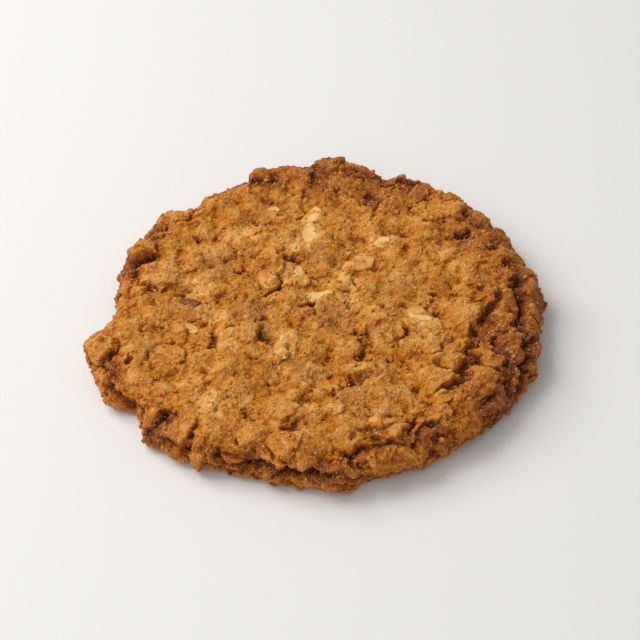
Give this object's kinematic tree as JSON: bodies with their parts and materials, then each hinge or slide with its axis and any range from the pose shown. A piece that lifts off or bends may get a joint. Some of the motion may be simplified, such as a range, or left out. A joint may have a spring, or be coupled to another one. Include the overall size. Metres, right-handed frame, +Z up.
{
  "type": "cookie",
  "caption": "Large round crumble cookie with a craggy golden-brown crust, toasted almond slices fused on top and a flat baked base.",
  "frame": {"origin": "middle of the flat base, at the centre of the bounding box", "axes": "+Z up through the thickness, -Y towards the side that faces the viewer in the picture, +X to that viewer's right"},
  "size_m": [0.2482, 0.2456, 0.0281],
  "materials": {
    "crust": "baked golden-brown dough, rough and slightly sugary",
    "almond": "pale sliced almond, slightly waxy",
    "almond_skin": "toasted red-brown almond skin"
  },
  "bodies": {
    "root": {"cookie": "crust"}
  },
  "joints": []
}
